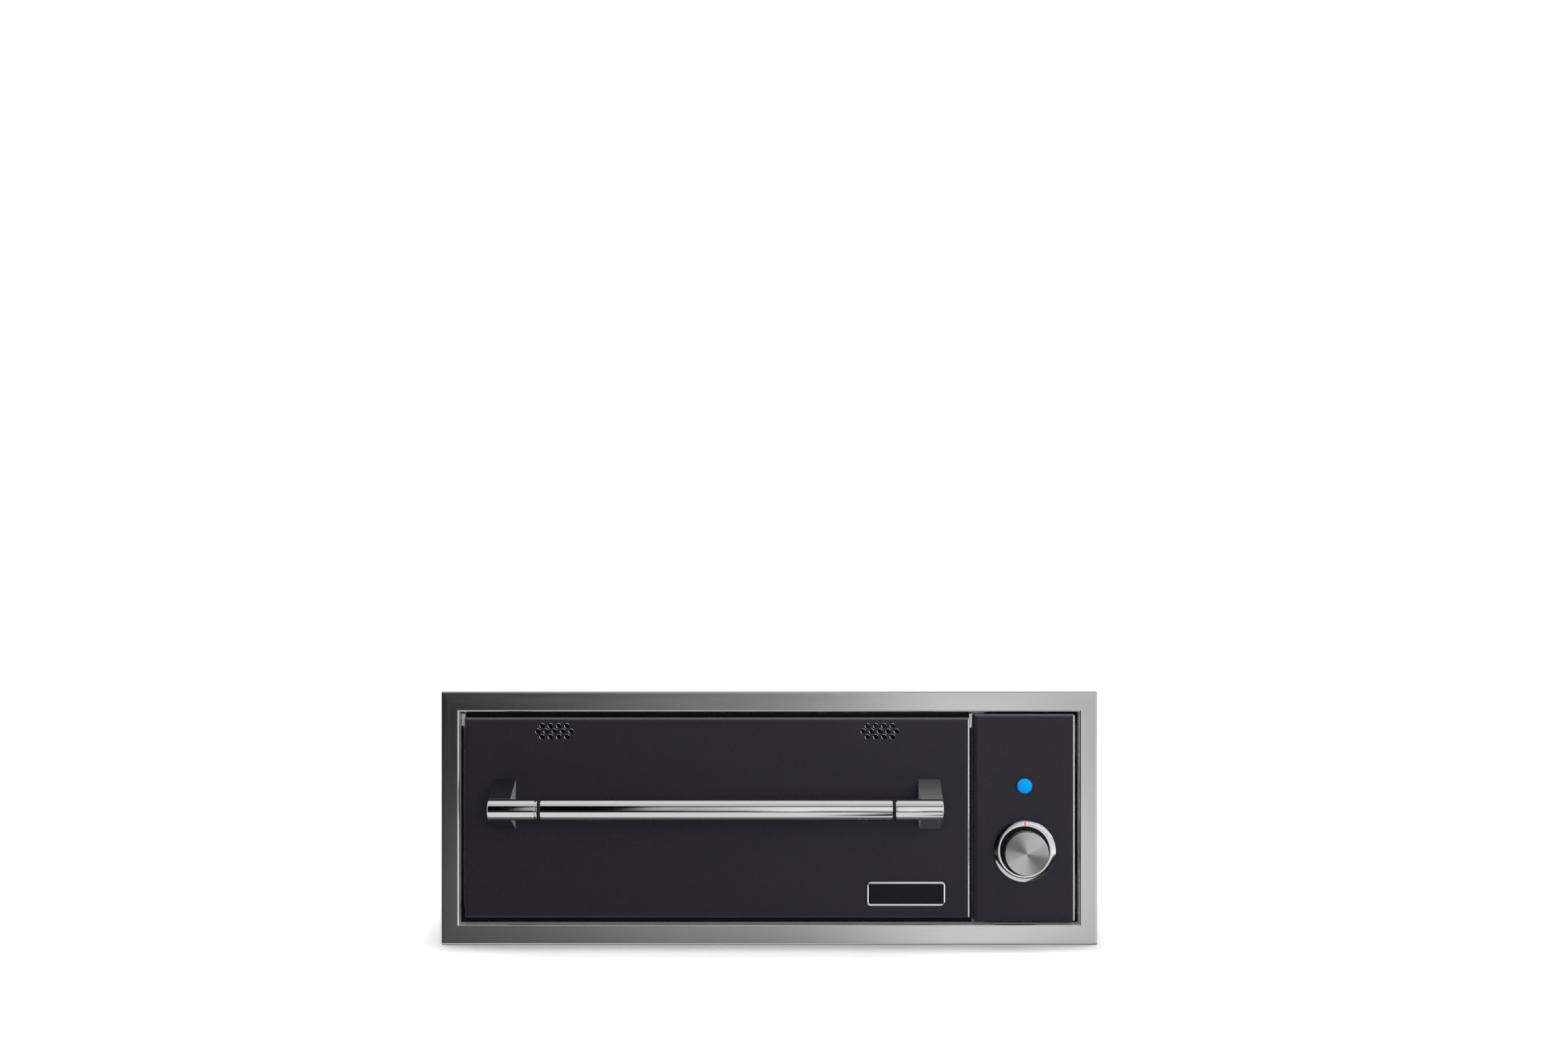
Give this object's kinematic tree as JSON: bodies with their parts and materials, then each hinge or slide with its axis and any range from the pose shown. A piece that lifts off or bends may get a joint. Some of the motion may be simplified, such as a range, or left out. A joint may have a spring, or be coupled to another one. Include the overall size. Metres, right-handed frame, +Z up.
{
  "type": "built-in warming drawer",
  "caption": "Built-in warming drawer with a flush trim frame, bar handle, control knob and pilot lamp; the deep heated drawer rolls out on ball-bearing slides.",
  "frame": {"origin": "casing underside at the wall plane, in the middle of the width", "axes": "+X to the right as seen from the front, +Y back into the cabinet, +Z up; millimetres in the source, metres in the row"},
  "size_m": [0.7556, 0.6528, 0.2921],
  "materials": {
    "trim_steel": "horizontally brushed",
    "casing_steel": "galvanised",
    "dark_panel": "semi-gloss",
    "bright_steel": "satin",
    "cavity_steel": "satin",
    "polished_steel": "polished",
    "bracket_steel": "satin",
    "slide_steel": "zinc plated",
    "fastener_steel": "zinc plated",
    "element_sheath": "oxidised",
    "capillary_copper": "drawn",
    "mineral_wool": "matt",
    "seal_rubber": "matt",
    "gasket_silicone": "matt",
    "moulded_black": "satin",
    "lamp_blue": "glossy",
    "lead_sleeve": "braided"
  },
  "bodies": {
    "cabinet": {"trim_frame": "trim_steel", "outer_casing": "casing_steel", "mounting_flange": "casing_steel", "top_cover": "casing_steel", "back_cover": "casing_steel", "control_partition": "casing_steel", "panel_brackets": "casing_steel", "liner_support_rails": "casing_steel", "inner_liner": "cavity_steel", "heat_baffle": "cavity_steel", "base_insulation": "mineral_wool", "wrap_insulation": "mineral_wool", "rear_insulation": "mineral_wool", "door_gasket": "gasket_silicone", "heating_element": "element_sheath", "element_clips": "cavity_steel", "probe_capillary": "capillary_copper", "bulb_clips": "cavity_steel", "control_panel": "dark_panel", "knob_bezel": "polished_steel", "regulator": "moulded_black", "regulator_screws": "fastener_steel", "lamp_body": "moulded_black", "lamp_lens": "lamp_blue", "lamp_nut": "moulded_black", "inlet_bushing": "moulded_black", "terminal_block": "moulded_black", "internal_wiring": "lead_sleeve", "left_slide_cabinet_member": "slide_steel", "right_slide_cabinet_member": "slide_steel", "cover_screws": "fastener_steel"},
    "drawer": {"front_cover": "dark_panel", "front_pan": "bright_steel", "front_insulation": "mineral_wool", "inner_panel": "cavity_steel", "vent_ducts": "cavity_steel", "shutter_rivets": "fastener_steel", "drawer_tub": "cavity_steel", "wire_rack": "polished_steel", "handle_tube": "polished_steel", "left_handle_sleeve": "polished_steel", "right_handle_sleeve": "polished_steel", "handle_ring": "polished_steel", "handle_seals": "seal_rubber", "left_handle_bracket": "bracket_steel", "right_handle_bracket": "bracket_steel", "handle_bolts": "fastener_steel", "handle_spacers": "fastener_steel", "left_slide_drawer_member": "slide_steel", "right_slide_drawer_member": "slide_steel"},
    "knob": {"knob": "polished_steel", "regulator_shaft": "slide_steel"},
    "left_vent": {"left_vent_shutter": "cavity_steel"},
    "right_vent": {"right_vent_shutter": "cavity_steel"},
    "left_slide_middle": {"left_slide_middle_member": "slide_steel"},
    "left_outer_cage": {"left_outer_ball_cage": "slide_steel"},
    "left_inner_cage": {"left_inner_ball_cage": "slide_steel"},
    "right_slide_middle": {"right_slide_middle_member": "slide_steel"},
    "right_outer_cage": {"right_outer_ball_cage": "slide_steel"},
    "right_inner_cage": {"right_inner_ball_cage": "slide_steel"}
  },
  "joints": [
    {"name": "drawer_slide", "type": "slide", "parent": "cabinet", "child": "drawer", "axis": [0, -1, 0], "range_m": [0, 0.45]},
    {"name": "left_slide_middle_run", "type": "slide", "parent": "cabinet", "child": "left_slide_middle", "axis": [0, -1, 0], "range_m": [0, 0.225]},
    {"name": "left_outer_cage_run", "type": "slide", "parent": "cabinet", "child": "left_outer_cage", "axis": [0, -1, 0], "range_m": [0, 0.1125]},
    {"name": "left_inner_cage_run", "type": "slide", "parent": "cabinet", "child": "left_inner_cage", "axis": [0, -1, 0], "range_m": [0, 0.3375]},
    {"name": "right_slide_middle_run", "type": "slide", "parent": "cabinet", "child": "right_slide_middle", "axis": [0, -1, 0], "range_m": [0, 0.225]},
    {"name": "right_outer_cage_run", "type": "slide", "parent": "cabinet", "child": "right_outer_cage", "axis": [0, -1, 0], "range_m": [0, 0.1125]},
    {"name": "right_inner_cage_run", "type": "slide", "parent": "cabinet", "child": "right_inner_cage", "axis": [0, -1, 0], "range_m": [0, 0.3375]},
    {"name": "left_vent_slide", "type": "slide", "parent": "drawer", "child": "left_vent", "axis": [1, 0, 0], "range_m": [0, 0.0048]},
    {"name": "right_vent_slide", "type": "slide", "parent": "drawer", "child": "right_vent", "axis": [1, 0, 0], "range_m": [0, 0.0048]},
    {"name": "knob_turn", "type": "hinge", "parent": "cabinet", "child": "knob", "pos_m": [0.29363, 0, 0.09605], "axis": [0, 1, 0], "range_deg": [0, 285]}
  ],
  "couplings": [
    {"joint": "left_slide_middle_run", "follows": "drawer_slide", "ratio": 0.5},
    {"joint": "left_outer_cage_run", "follows": "drawer_slide", "ratio": 0.25},
    {"joint": "left_inner_cage_run", "follows": "drawer_slide", "ratio": 0.75},
    {"joint": "right_slide_middle_run", "follows": "drawer_slide", "ratio": 0.5},
    {"joint": "right_outer_cage_run", "follows": "drawer_slide", "ratio": 0.25},
    {"joint": "right_inner_cage_run", "follows": "drawer_slide", "ratio": 0.75}
  ]
}
